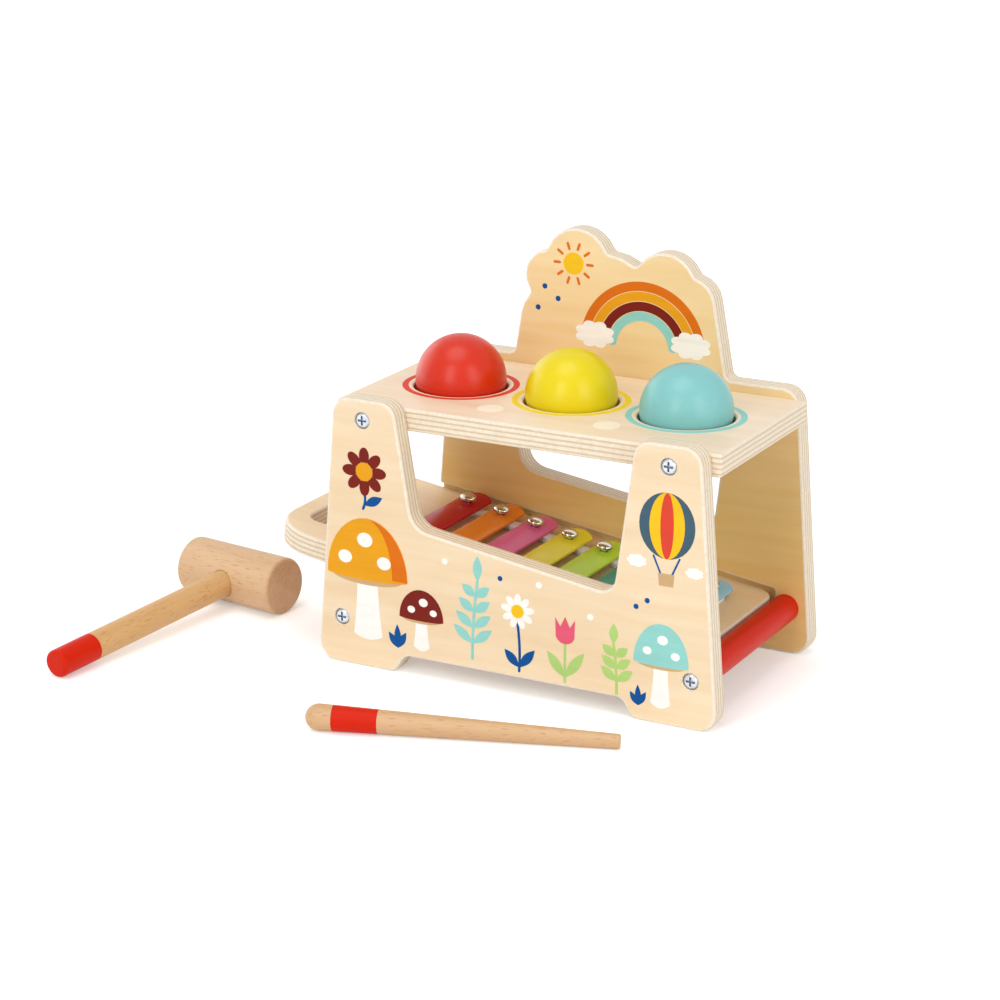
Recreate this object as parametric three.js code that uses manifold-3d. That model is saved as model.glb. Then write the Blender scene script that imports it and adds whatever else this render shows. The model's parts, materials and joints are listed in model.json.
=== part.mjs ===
// Pounding bench with a pull-out xylophone, a mallet and a beater. All sizes are in millimetres.
// While the pieces are built, X runs along the bench, Y runs from the front panel to the rear panel,
// Z runs up from the floor, and the bench is centred on X = 0, Y = 0.
import * as THREE from "three";
import { mergeVertices } from "three/addons/utils/BufferGeometryUtils.js";
import Module from "manifold-3d";

// Clearances
const seatGap = 0.3; // between a piece and the hole or the seat that takes it
const boardGap = 0.1; // between boards that are screwed face to face
const slideGap = 0.5; // between each long edge of the tray and the bottom of its groove

// Table with its three ball holes
const tableLength = 217;
const tableDepth = 110;
const tableThickness = 12;
const tableTop = 140;
const ballRadius = 24;
const ballPitch = 65;
const ballHoleRadius = 25;
const ringBoreRadius = 21;
const ringOuterRadius = 28;
const ringThickness = 3;

// Outline that both end panels share
const panelThickness = 12;
const panelHalfLength = 114.7;
const panelSideLean = 0.08; // inwards, for each millimetre of height
const panelFootRadius = 10;
const shoulderHeight = 145;
const shoulderRadius = 10;
const footInnerX = 68.5;
const footRiseX = 62.5;
const footRise = 10;
const footCurveRadius = 6;

// Opening in each panel: an open notch in front, a closed window at the rear
const openingFloor = 72; // height of its sloping lower edge at X = 0
const openingLowerX = 57;
const openingUpperX = 68; // at shoulder height
const openingHighCornerRadius = 12;
const openingLowCornerRadius = 8;
const legTopRadius = 9;
const windowTop = 118;
const windowTopX = 63;
const windowTopRadius = 10;

// Cloud on top of the rear panel: lobes from left to right as [X, Z, radius]
const cloudFootX = 62.5;
const cloudFootRadius = 4;
const cloudNotchRadius = 3.2;
const cloudLobes = [
  [-40.4, 165.4, 18.5],
  [-41.9, 189.5, 14.1],
  [-25.1, 198.3, 18.8],
  [-6.9, 178.9, 25.8],
  [26, 190.6, 18.3],
  [40.7, 183.2, 14.4],
];

// Screws through the panels, and the two dowels
const screwHeadRadius = 4.2;
const screwHeadHeight = 2.2;
const screwShankRadius = 2;
const screwGrip = 20; // length that stands in the table or in a dowel
const screwSink = 2.5; // depth of the counterbore under the head
const screwCrossWidth = 1;
const screwCrossDepth = 1.2;
const tableScrewInset = 22.5; // from each end of the table
const dowelRadius = 7.5;
const dowelInset = 14.7; // from each foot of a panel
const dowelHeight = 25.5;

// Tray, which slides in a sloping groove in each panel
const trayTilt = THREE.MathUtils.degToRad(8.3);
const trayTopHeight = 45.3; // of its upper face at X = 0
const trayThickness = 12;
const trayHandleEnd = -152.6; // along the slope
const trayHandleRadius = 27;
const trayNoseRadius = 10;
const handHoleEnd = -141.5; // along the slope
const handHoleWidth = 22;
const handHoleLength = 74;
const handHoleRadius = 8;
const grooveDepth = 4;
const grooveHeadroom = 3;
const grooveStopRadius = 3;

// Tone bars, each on two felt strips and held by two dome screws
const barCount = 8;
const barPitch = 21.8;
const barFirst = -82; // along the slope
const barWidth = 16;
const barThickness = 1.6;
const barCrown = 1.2; // rise of its arched middle above its long edges
const barFirstLength = 104;
const barLengthStep = 3.7;
const barEndRadius = 10;
const feltWidth = 8;
const feltThickness = 3;
const feltOverhang = 7; // past the first and the last bar screw
const barScrewFirstY = 34.5;
const barScrewStepY = 1.6;
const domeRadius = 4.5;
const domeHeight = 2.8;
const domeRim = 0.8; // height of the straight edge below the dome
const domeLift = 2; // free height between a bar and the heads of its screws
const barScrewShankRadius = 1.6;
const barScrewBite = 8; // depth in the tray

// Mallet, which lies on the floor to the left of the bench
const malletHeadRadius = 16;
const malletHeadLength = 66;
const malletHeadRound = 2;
const malletHandleRadius = 7.5;
const malletHandleLength = 129; // outside the head
const malletTenonDepth = 24; // inside the head
const malletHandleRound = 2;
const malletX = -199;
const malletY = -14;
const malletTurn = THREE.MathUtils.degToRad(-98); // way that the handle points, from +X

// Beater, which lies on the floor in front of the bench
const beaterLength = 157;
const beaterThickRadius = 6.75;
const beaterThinRadius = 3.75;
const beaterTipRound = 1;
const beaterX = -62;
const beaterY = -152.5;
const beaterTurn = THREE.MathUtils.degToRad(18.7);

// Places that follow from the sizes
const tableHalfDepth = tableDepth / 2;
const panelInnerY = tableHalfDepth + boardGap;
const panelOuterY = panelInnerY + panelThickness;
const tableMiddle = tableTop - tableThickness / 2;
const tableScrewX = tableLength / 2 - tableScrewInset;
const dowelX = panelHalfLength - dowelInset;
const slopeRatio = Math.tan(trayTilt);
const trayHalfWidth = panelInnerY + grooveDepth - slideGap;
const trayDowelAlong = dowelX * Math.cos(trayTilt) + (trayTopHeight - dowelHeight) * Math.sin(trayTilt);
const trayNoseEnd = trayDowelAlong - dowelRadius - seatGap; // rests against the right-hand dowel
const trayNoseInset = trayNoseRadius - (trayHalfWidth - panelInnerY);
const trayNoseLeaves = trayNoseEnd - trayNoseRadius + Math.sqrt(trayNoseRadius ** 2 - trayNoseInset ** 2);
const grooveStop = trayNoseLeaves + grooveStopRadius; // past where the rounded nose leaves the groove
const barFloor = feltThickness + seatGap;
const domeFloor = barFloor + barThickness + barCrown + domeLift;
const ringTop = tableTop - tableThickness + ringThickness;
const ballRest = ringTop + Math.sqrt((ballRadius + seatGap) ** 2 - ringBoreRadius ** 2);
const ballNames = ["left", "middle", "right"];

// Materials
const paint = (hex, roughness) => new THREE.MeshStandardMaterial({ color: hex, roughness });
const plywood = paint(0xf7dcb4, 0.6);
const beech = paint(0xe2c196, 0.55);
const redPaint = paint(0xd8402c, 0.35);
const ballPaints = [paint(0xe64b2d, 0.35), paint(0xf4e62e, 0.35), paint(0x9ed6d7, 0.35)];
const rubber = paint(0x2b2b2b, 0.9);
const felt = paint(0xd2cfc9, 0.95);
const zinc = new THREE.MeshStandardMaterial({ color: 0xc9ced6, roughness: 0.35, metalness: 1 });
const nickel = new THREE.MeshStandardMaterial({ color: 0xd8d8d4, roughness: 0.2, metalness: 1 });
const barColours = [0x942023, 0xcb5a16, 0xbd6c6b, 0xe3ce4e, 0xb9cd52, 0x009178, 0x3a7fb5, 0x97bac0];

const wasm = await Module();
wasm.setup();

// A closed geometry as a solid that can be cut.
function solidOf(geometry) {
  const bare = geometry.clone();
  bare.deleteAttribute("normal");
  bare.deleteAttribute("uv");
  const welded = mergeVertices(bare, 1e-4);
  const mesh = new wasm.Mesh({
    numProp: 3,
    vertProperties: welded.attributes.position.array,
    triVerts: new Uint32Array(welded.index.array),
  });
  return new wasm.Manifold(mesh);
}

// A solid as a geometry.
function geometryOf(solid) {
  const mesh = solid.getMesh();
  const result = new THREE.BufferGeometry();
  result.setAttribute("position", new THREE.BufferAttribute(mesh.vertProperties, 3));
  result.setIndex(new THREE.BufferAttribute(mesh.triVerts, 1));
  result.computeVertexNormals();
  return result;
}

// The geometry that is left when the tools are cut out of it.
function cut(geometry, tools) {
  return geometryOf(tools.reduce((body, tool) => body.subtract(solidOf(tool)), solidOf(geometry)));
}

// The geometry that two geometries share.
function shared(first, second) {
  return geometryOf(solidOf(first).intersect(solidOf(second)));
}

// Points on an arc, from one angle to another, in steps of about 15 degrees.
function arc(centre, radius, from, to, step = Math.PI / 12) {
  const steps = Math.max(1, Math.round(Math.abs(to - from) / step));
  return Array.from({ length: steps + 1 }, (_, i) => {
    const angle = from + ((to - from) * i) / steps;
    return new THREE.Vector2(Math.cos(angle), Math.sin(angle)).multiplyScalar(radius).add(centre);
  });
}

// A small round hole in an outline.
function screwHoleOutline(x, y, radius) {
  return arc(new THREE.Vector2(x, y), radius, 0, 2 * Math.PI, Math.PI / 6).slice(1);
}

// The same angle, brought to within half a turn of another.
function nearAngle(angle, other) {
  return other + Math.atan2(Math.sin(angle - other), Math.cos(angle - other));
}

// A corner [x, y, radius] between two neighbours, as the points of its tangent arc.
function roundCorner([x, y, radius], before, after) {
  const corner = new THREE.Vector2(x, y);
  if (!radius) return [corner];
  const back = new THREE.Vector2(before[0] - x, before[1] - y).normalize();
  const ahead = new THREE.Vector2(after[0] - x, after[1] - y).normalize();
  const half = Math.acos(back.dot(ahead)) / 2;
  const towards = back.clone().add(ahead).normalize();
  const centre = corner.clone().addScaledVector(towards, radius / Math.sin(half));
  const reach = radius / Math.tan(half);
  const start = corner.clone().addScaledVector(back, reach).sub(centre).angle();
  const end = corner.clone().addScaledVector(ahead, reach).sub(centre).angle();
  return arc(centre, radius, start, nearAngle(end, start));
}

// A closed run of corners as points.
function roundCorners(corners) {
  const count = corners.length;
  return corners.flatMap((corner, i) =>
    roundCorner(corner, corners[(i + count - 1) % count], corners[(i + 1) % count]),
  );
}

function mirrored(corners) {
  return corners.map(([x, y, radius]) => [-x, y, radius]).reverse();
}

// A board cut from an outline in the X-Y plane, from Z = 0 up to its thickness.
function board(outline, thickness, holes = []) {
  const shape = new THREE.Shape(outline);
  shape.holes = holes.map((hole) => new THREE.Path(hole));
  return new THREE.ExtrudeGeometry(shape, { depth: thickness, bevelEnabled: false });
}

// A board that stands upright: its outline's second axis points up and its face is at faceY.
function uprightBoard(outline, thickness, faceY, holes) {
  return board(outline, thickness, holes).rotateX(Math.PI / 2).translate(0, faceY + thickness, 0);
}

// A round piece on the Z axis from a profile of [radius, z] that starts and ends on the axis.
function turned(profile, segments = 24) {
  return new THREE.LatheGeometry(
    profile.map(([radius, z]) => new THREE.Vector2(radius, z)),
    segments,
  ).rotateX(Math.PI / 2);
}

function rod(radius, bottom, top, segments = 24) {
  return turned([[0, bottom], [radius, bottom], [radius, top], [0, top]], segments);
}

const group = new THREE.Group();

function add(name, geometry, material, parent = group) {
  const mesh = new THREE.Mesh(geometry, material);
  mesh.name = name;
  parent.add(mesh);
}

// Half of the outer edge of a panel, from the middle of its foot recess up to its shoulder.
function panelSide() {
  const shoulderX = panelHalfLength - panelSideLean * shoulderHeight;
  return [
    [footRiseX, footRise, footCurveRadius],
    [footInnerX, 0, footCurveRadius],
    [panelHalfLength, 0, panelFootRadius],
    [shoulderX, shoulderHeight, shoulderRadius],
  ];
}

// Lower edge of the opening, parallel to the tray, from right to left.
function openingFloorCorners() {
  return [
    [openingLowerX, openingFloor - slopeRatio * openingLowerX, openingLowCornerRadius],
    [-openingLowerX, openingFloor + slopeRatio * openingLowerX, openingHighCornerRadius],
  ];
}

function frontOutline() {
  return roundCorners([
    ...panelSide(),
    [openingUpperX, shoulderHeight, legTopRadius],
    ...openingFloorCorners(),
    [-openingUpperX, shoulderHeight, legTopRadius],
    ...mirrored(panelSide()),
  ]);
}

// Angle at which the straight side that rises from a foot of the cloud touches a lobe. turn is 1 or -1.
function touchAngle(lobe, footX, turn) {
  const way = new THREE.Vector2(footX, shoulderHeight).sub(lobe.at);
  return way.angle() + turn * Math.acos(lobe.radius / way.length());
}

// Top edge of the rear panel from right to left: lobes joined by hollow arcs that touch both neighbours.
function cloudOutline() {
  const lobes = cloudLobes.map(([x, z, radius]) => ({ at: new THREE.Vector2(x, z), radius }));
  const points = [];
  let start = nearAngle(touchAngle(lobes[lobes.length - 1], cloudFootX, 1), 0);
  for (let i = lobes.length - 1; i > 0; i--) {
    const here = lobes[i];
    const next = lobes[i - 1];
    const reachHere = here.radius + cloudNotchRadius;
    const reachNext = next.radius + cloudNotchRadius;
    const way = next.at.clone().sub(here.at);
    const span = way.length();
    const along = (reachHere ** 2 - reachNext ** 2 + span ** 2) / (2 * span);
    const aside = Math.sqrt(reachHere ** 2 - along ** 2);
    way.divideScalar(span);
    const notch = here.at.clone().addScaledVector(way, along);
    notch.add(new THREE.Vector2(way.y, -way.x).multiplyScalar(aside));
    const end = notch.clone().sub(here.at).angle();
    points.push(...arc(here.at, here.radius, start, end));
    const notchStart = here.at.clone().sub(notch).angle();
    const notchEnd = next.at.clone().sub(notch).angle();
    points.push(...arc(notch, cloudNotchRadius, notchStart, nearAngle(notchEnd, notchStart)));
    start = nearAngle(notch.clone().sub(next.at).angle(), Math.PI / 2);
  }
  points.push(...arc(lobes[0].at, lobes[0].radius, start, touchAngle(lobes[0], -cloudFootX, -1)));
  return points;
}

function rearOutline() {
  const cloud = cloudOutline();
  const rightEnd = cloud[0];
  const leftEnd = cloud[cloud.length - 1];
  const run = [
    [leftEnd.x, leftEnd.y, 0],
    [-cloudFootX, shoulderHeight, cloudFootRadius],
    ...mirrored(panelSide()),
    ...panelSide(),
    [cloudFootX, shoulderHeight, cloudFootRadius],
    [rightEnd.x, rightEnd.y, 0],
  ];
  const edge = run.slice(1, -1).flatMap((corner, i) => roundCorner(corner, run[i], run[i + 2]));
  return [...edge, ...cloud];
}

function windowOutline() {
  return roundCorners([
    ...openingFloorCorners(),
    [-windowTopX, windowTop, windowTopRadius],
    [windowTopX, windowTop, windowTopRadius],
  ]);
}

// Groove for one long edge of the tray, cut into the face at innerY towards outerY.
function groove(innerY, outerY) {
  const floor = -trayThickness - seatGap;
  const openEnd = -2 * panelHalfLength;
  const outline = roundCorners([
    [openEnd, floor, 0],
    [grooveStop, floor, grooveStopRadius],
    [grooveStop, grooveHeadroom, grooveStopRadius],
    [openEnd, grooveHeadroom, 0],
  ]);
  const depth = Math.abs(outerY - innerY);
  const tool = uprightBoard(outline, depth, Math.min(innerY, outerY), []);
  return tool.rotateY(trayTilt).translate(0, 0, trayTopHeight);
}

// Screw axes as [name, X, Z].
const screwAxes = [
  ["table_left", -tableScrewX, tableMiddle],
  ["table_right", tableScrewX, tableMiddle],
  ["dowel_left", -dowelX, dowelHeight],
  ["dowel_right", dowelX, dowelHeight],
];

// Turns a piece that points down Z into one that points through a panel towards the middle of the bench.
function throughPanel(geometry, side, x, z) {
  return geometry.rotateX((side * Math.PI) / 2).translate(x, -side * panelOuterY, z);
}

// Hole for a panel screw: a counterbore for the head and a bore for the shank, mouth at Z = 0.
function screwHole() {
  const wide = screwHeadRadius + seatGap;
  const narrow = screwShankRadius + seatGap;
  const bottom = -panelThickness - boardGap - screwGrip - seatGap;
  const shank = [[0, bottom], [narrow, bottom], [narrow, -screwSink]];
  const head = [[wide, -screwSink], [wide, 1], [0, 1]];
  return turned([...shank, ...head], 16);
}

// Panel screw with a domed head and a cross slot, its head just below Z = 0.
function panelScrew() {
  const seat = -screwSink + seatGap;
  const tip = -panelThickness - boardGap - screwGrip;
  const crown = seat + screwHeadHeight;
  const body = turned(
    [
      [0, tip],
      [screwShankRadius, tip + screwShankRadius],
      [screwShankRadius, seat],
      [screwHeadRadius, seat],
      [screwHeadRadius, seat + screwHeadHeight / 2],
      [screwHeadRadius * 0.7, crown],
      [0, crown],
    ],
    16,
  );
  const slotLength = screwHeadRadius * 1.2;
  const slot = new THREE.BoxGeometry(slotLength, screwCrossWidth, 2 * screwCrossDepth);
  slot.translate(0, 0, crown);
  return cut(body, [slot.clone(), slot.clone().rotateZ(Math.PI / 2)]);
}

// Holes of all screws that meet a piece, on the front side, the rear side or both.
function screwHoles(axes, sides) {
  return sides.flatMap((side) => axes.map(([, x, z]) => throughPanel(screwHole(), side, x, z)));
}

const frontSide = 1;
const rearSide = -1;

const frontPlate = uprightBoard(frontOutline(), panelThickness, -panelOuterY, []);
const frontGroove = groove(-panelInnerY + 1, -panelInnerY - grooveDepth);
add("front_panel", cut(frontPlate, [frontGroove, ...screwHoles(screwAxes, [frontSide])]), plywood);

const rearPlate = uprightBoard(rearOutline(), panelThickness, panelInnerY, [windowOutline()]);
const rearGroove = groove(panelInnerY - 1, panelInnerY + grooveDepth);
add("rear_panel", cut(rearPlate, [rearGroove, ...screwHoles(screwAxes, [rearSide])]), plywood);

const tablePlate = new THREE.BoxGeometry(tableLength, tableDepth, tableThickness);
tablePlate.translate(0, 0, tableMiddle);
const tableUnderside = tableTop - tableThickness;
const tableCuts = ballNames.flatMap((_, i) => {
  const x = (i - 1) * ballPitch;
  const hole = rod(ballHoleRadius, tableUnderside - 1, tableTop + 1, 36);
  const seat = rod(ringOuterRadius + seatGap, tableUnderside - 1, ringTop + seatGap, 36);
  return [hole.translate(x, 0, 0), seat.translate(x, 0, 0)];
});
const tableScrewHoles = screwHoles(screwAxes.slice(0, 2), [frontSide, rearSide]);
add("table_top", cut(tablePlate, [...tableCuts, ...tableScrewHoles]), plywood);

ballNames.forEach((name, i) => {
  const x = (i - 1) * ballPitch;
  const ring = rod(ringOuterRadius, tableUnderside, ringTop, 36);
  const bore = rod(ringBoreRadius, tableUnderside - 1, ringTop + 1, 36);
  add("grip_ring_" + name, cut(ring, [bore]).translate(x, 0, 0), rubber);
  const ball = new THREE.SphereGeometry(ballRadius, 28, 14).translate(x, 0, ballRest);
  add("ball_" + name, ball, ballPaints[i]);
});

screwAxes.slice(2).forEach(([name, x, z]) => {
  const dowel = rod(dowelRadius, -tableHalfDepth, tableHalfDepth, 32);
  dowel.rotateX(Math.PI / 2).translate(x, 0, z);
  add(name, cut(dowel, screwHoles([[name, x, z]], [frontSide, rearSide])), redPaint);
});

for (const [sideName, side] of [["front", frontSide], ["rear", rearSide]]) {
  for (const [name, x, z] of screwAxes) {
    add("panel_screw_" + sideName + "_" + name, throughPanel(panelScrew(), side, x, z), zinc);
  }
}

// The tray and all that it carries, with X down the slope and Z square to its upper face.
const tray = new THREE.Group();
tray.rotation.y = trayTilt;
tray.position.z = trayTopHeight;
group.add(tray);

const bars = Array.from({ length: barCount }, (_, i) => ({
  at: barFirst + i * barPitch,
  length: barFirstLength - i * barLengthStep,
  screwY: barScrewFirstY - i * barScrewStepY,
}));
const barScrewPlaces = bars.flatMap((bar, i) => [
  { name: "bar_screw_" + (i + 1) + "_front", x: bar.at, y: -bar.screwY },
  { name: "bar_screw_" + (i + 1) + "_rear", x: bar.at, y: bar.screwY },
]);
const pilotRadius = barScrewShankRadius + seatGap;

function trayBoard() {
  const outline = roundCorners([
    [trayHandleEnd, -trayHalfWidth, trayHandleRadius],
    [trayNoseEnd, -trayHalfWidth, trayNoseRadius],
    [trayNoseEnd, trayHalfWidth, trayNoseRadius],
    [trayHandleEnd, trayHalfWidth, trayHandleRadius],
  ]);
  const handHole = roundCorners([
    [handHoleEnd, -handHoleLength / 2, handHoleRadius],
    [handHoleEnd + handHoleWidth, -handHoleLength / 2, handHoleRadius],
    [handHoleEnd + handHoleWidth, handHoleLength / 2, handHoleRadius],
    [handHoleEnd, handHoleLength / 2, handHoleRadius],
  ]);
  const plate = board(outline, trayThickness, [handHole]).translate(0, 0, -trayThickness);
  const pilotEnd = -barScrewBite - seatGap;
  const pilots = barScrewPlaces.map(({ x, y }) => rod(pilotRadius, pilotEnd, 1, 12).translate(x, y, 0));
  return cut(plate, pilots);
}
add("xylophone_tray", trayBoard(), plywood, tray);

// Felt strip under one row of screws. The rows close in as the bars get shorter.
function feltStrip(side) {
  const first = bars[0];
  const last = bars[barCount - 1];
  const slope = (last.screwY - first.screwY) / (last.at - first.at);
  const edge = (x, offset) => new THREE.Vector2(x, side * (first.screwY + slope * (x - first.at) + offset));
  const start = first.at - feltOverhang;
  const end = last.at + feltOverhang;
  const half = feltWidth / 2;
  const outline = [edge(start, -half), edge(end, -half), edge(end, half), edge(start, half)];
  const holes = bars.map((bar) => screwHoleOutline(bar.at, side * bar.screwY, pilotRadius));
  return board(outline, feltThickness, holes).translate(0, 0, seatGap / 2);
}
add("felt_front", feltStrip(-1), felt, tray);
add("felt_rear", feltStrip(1), felt, tray);

// Tone bar: a strip that is arched across its width, with bowed ends and a hole for each of its screws.
function toneBar(bar) {
  const half = barWidth / 2;
  const square = Math.PI / 2;
  const archRadius = (half ** 2 + barCrown ** 2) / (2 * barCrown);
  const archReach = Math.asin(half / archRadius);
  const archCentre = new THREE.Vector2(bar.at, barFloor + barCrown - archRadius);
  const lower = arc(archCentre, archRadius, square + archReach, square - archReach, archReach / 3);
  const upper = lower.map((point) => new THREE.Vector2(point.x, point.y + barThickness)).reverse();
  const strip = uprightBoard([...lower, ...upper], bar.length, -bar.length / 2);
  const bow = Math.asin(half / barEndRadius);
  const endY = bar.length / 2 - barEndRadius;
  const rearEnd = arc(new THREE.Vector2(bar.at, endY), barEndRadius, square - bow, square + bow);
  const frontEnd = arc(new THREE.Vector2(bar.at, -endY), barEndRadius, -square - bow, bow - square);
  const holes = [-1, 1].map((side) => screwHoleOutline(bar.at, side * bar.screwY, pilotRadius + seatGap));
  return shared(strip, board([...rearEnd, ...frontEnd], domeFloor, holes));
}
bars.forEach((bar, i) => add("bar_" + (i + 1), toneBar(bar), paint(barColours[i], 0.3), tray));

// Dome screw that stands in the tray and holds a bar down loosely.
function barScrew() {
  const crown = domeHeight - domeRim;
  const dome = [0, 1, 2].map((i) => {
    const angle = (i * Math.PI) / 6;
    return [domeRadius * Math.cos(angle), domeFloor + domeRim + crown * Math.sin(angle)];
  });
  const shankEnd = -barScrewBite;
  const shank = [[0, shankEnd], [barScrewShankRadius, shankEnd], [barScrewShankRadius, domeFloor]];
  return turned([...shank, [domeRadius, domeFloor], ...dome, [0, domeFloor + domeHeight]], 12);
}
barScrewPlaces.forEach(({ name, x, y }) => add(name, barScrew().translate(x, y, 0), nickel, tray));

// Mallet: its head lies on the floor and its handle droops until the far end touches the floor too.
const malletReach = malletHeadRadius + malletHandleLength;
const malletDroop = Math.asin((malletHeadRadius - malletHandleRadius) / malletReach);
const mallet = new THREE.Group();
mallet.position.set(malletX, malletY, malletHeadRadius);
mallet.rotation.set(0, malletDroop, malletTurn, "ZYX");
group.add(mallet);

// A cylinder along Z with rounded rims, centred on Z = 0.
function roundedRod(radius, bottom, top, round, segments) {
  const lower = arc(new THREE.Vector2(radius - round, bottom + round), round, -Math.PI / 2, 0);
  const upper = arc(new THREE.Vector2(radius - round, top - round), round, 0, Math.PI / 2);
  const rims = [...lower, ...upper].map((point) => [point.x, point.y]);
  return turned([[0, bottom], ...rims, [0, top]], segments);
}

const malletHeadEnd = malletHeadLength / 2;
const malletHead = roundedRod(malletHeadRadius, -malletHeadEnd, malletHeadEnd, malletHeadRound, 40);
const malletTenonEnd = malletHeadRadius - malletTenonDepth;
const malletSocket = rod(malletHandleRadius + seatGap, malletTenonEnd - seatGap, 2 * malletHeadRadius, 32);
const malletHandle = roundedRod(malletHandleRadius, malletTenonEnd, malletReach, malletHandleRound, 32);
const headAcross = malletHead.rotateX(Math.PI / 2);
add("mallet_head", cut(headAcross, [malletSocket.rotateY(Math.PI / 2)]), beech, mallet);
add("mallet_handle", malletHandle.rotateY(Math.PI / 2), beech, mallet);

// Beater: a tapered stick with a ball-shaped thick end, lying along its own side.
function beater() {
  const thick = arc(new THREE.Vector2(0, beaterThickRadius), beaterThickRadius, -Math.PI / 2, 0);
  const tipCentre = new THREE.Vector2(beaterThinRadius - beaterTipRound, beaterLength - beaterTipRound);
  const tip = arc(tipCentre, beaterTipRound, 0, Math.PI / 2);
  const profile = [...thick.slice(1), ...tip].map((point) => [point.x, point.y]);
  return turned([[0, 0], ...profile, [0, beaterLength]], 28).rotateY(Math.PI / 2);
}
const beaterTaper = Math.asin((beaterThickRadius - beaterThinRadius) / (beaterLength - beaterThickRadius));
const stick = new THREE.Group();
stick.position.set(beaterX, beaterY, beaterThickRadius);
stick.rotation.set(0, beaterTaper, beaterTurn, "ZYX");
group.add(stick);
add("beater", beater().translate(-beaterThickRadius, 0, 0), beech, stick);

// The part's origin is the middle of the underside of the whole set.
group.updateMatrixWorld(true);
const extent = new THREE.Box3().setFromObject(group, true);
const middle = extent.getCenter(new THREE.Vector3());
group.children.forEach((child) => child.position.sub(new THREE.Vector3(middle.x, middle.y, extent.min.z)));
group.updateMatrixWorld(true);

export default group;
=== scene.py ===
# %% [markdown]
# # Dressing a pounding xylophone
# The solids of the bench, the tray, the balls, the mallet and the beater come from the frame.
# This lesson turns them into a product photograph. Each solid is copied, its sharp edges are eased, it
# gets a material that is built from noise and waves, and it rides on the body that moves it. Colour
# prints are thin films on the boards.

import json
import math

import bmesh
import bpy
from mathutils import Matrix, Vector


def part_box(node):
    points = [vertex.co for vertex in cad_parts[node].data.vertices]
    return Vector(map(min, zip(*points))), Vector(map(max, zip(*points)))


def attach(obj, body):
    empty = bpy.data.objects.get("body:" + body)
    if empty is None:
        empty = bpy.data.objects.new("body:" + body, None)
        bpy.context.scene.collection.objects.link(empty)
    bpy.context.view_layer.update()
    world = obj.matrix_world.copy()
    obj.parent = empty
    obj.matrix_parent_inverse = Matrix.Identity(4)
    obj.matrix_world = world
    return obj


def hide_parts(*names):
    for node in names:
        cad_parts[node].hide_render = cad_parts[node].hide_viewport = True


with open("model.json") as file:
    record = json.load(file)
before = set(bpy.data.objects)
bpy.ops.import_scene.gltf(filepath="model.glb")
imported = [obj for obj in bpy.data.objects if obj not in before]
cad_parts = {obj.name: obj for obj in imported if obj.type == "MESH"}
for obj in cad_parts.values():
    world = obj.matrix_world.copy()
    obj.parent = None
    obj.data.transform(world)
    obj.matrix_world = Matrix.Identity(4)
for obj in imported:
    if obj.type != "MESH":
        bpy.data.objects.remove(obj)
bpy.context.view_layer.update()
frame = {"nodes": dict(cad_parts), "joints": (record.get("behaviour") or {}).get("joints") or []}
MM = 0.001

# %% [markdown]
# ## Where things are
# The prints and the camera were measured from the middle of the bench, so one point of the frame carries
# them all: the middle of the table, on the floor. The slope of the tray is the direction in which its
# joint slides.

# %% Places that come from the frame
table_low, table_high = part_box("table_top")
front_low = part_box("front_panel")[0]
rear_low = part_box("rear_panel")[0]
bench = Vector(((table_low.x + table_high.x) / 2, (table_low.y + table_high.y) / 2, 0))
tray_joint = next(joint for joint in frame["joints"] if joint["name"] == "tray_slide")
tray_tilt = math.atan2(tray_joint["axis"][2], -tray_joint["axis"][0])
tray_frame = Matrix.Translation(bench) @ Matrix.Rotation(tray_tilt, 4, "Y")
print("bench middle", tuple(round(v, 4) for v in bench), "tray slope", round(math.degrees(tray_tilt), 2))

# %% [markdown]
# ## Colours and plain materials
# Colours are written as they look on a screen, from 0 to 255, and turned into the linear values that
# shaders use. A plain material is one Principled shader with its numbers set on its sockets.


# %% Colour and plain-material functions
def colour(red, green, blue):
    """The linear values of a screen colour, by the sRGB curve."""

    def linear(value):
        share = value / 255
        return share / 12.92 if share <= 0.04045 else ((share + 0.055) / 1.055) ** 2.4

    return (linear(red), linear(green), linear(blue), 1)


def plain_material(name, rgb, roughness, metallic=0.0, gloss=0.5):
    material = bpy.data.materials.new(name)
    material.use_nodes = True
    shader = material.node_tree.nodes["Principled BSDF"]
    shader.inputs["Base Color"].default_value = colour(*rgb)
    shader.inputs["Roughness"].default_value = roughness
    shader.inputs["Metallic"].default_value = metallic
    shader.inputs["Specular IOR Level"].default_value = gloss
    return material


# %% [markdown]
# ## Wood
# Wood is a pale and a dark tint mixed by noise that is stretched along the grain. The same noise gives it
# a fine relief and lets its gloss wander, as fibres do under a thin lacquer. The boards are birch
# plywood. Their veneers differ in tone from board to board. On the front of the rear panel a painted
# shade turns the veneer a deeper honey below the table, standing in for the shade and warm bounced light
# inside the bench. The loose pieces are beech, which adds short dark flecks. A plywood edge is a wave
# across the thickness of the board, a little bent so that the plies don't look ruled.


# %% Node functions
def add_noise(tree, scale, detail=4.0, roughness=0.55):
    """Noise in the frame of the piece itself. scale is the number of features in a metre, along each axis."""
    coordinates = tree.nodes.new("ShaderNodeTexCoord")
    mapping = tree.nodes.new("ShaderNodeMapping")
    mapping.inputs["Scale"].default_value = scale
    noise = tree.nodes.new("ShaderNodeTexNoise")
    noise.inputs["Scale"].default_value = 1.0
    noise.inputs["Detail"].default_value = detail
    noise.inputs["Roughness"].default_value = roughness
    tree.links.new(coordinates.outputs["Object"], mapping.inputs["Vector"])
    tree.links.new(mapping.outputs["Vector"], noise.inputs["Vector"])
    return noise.outputs["Fac"]


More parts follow.
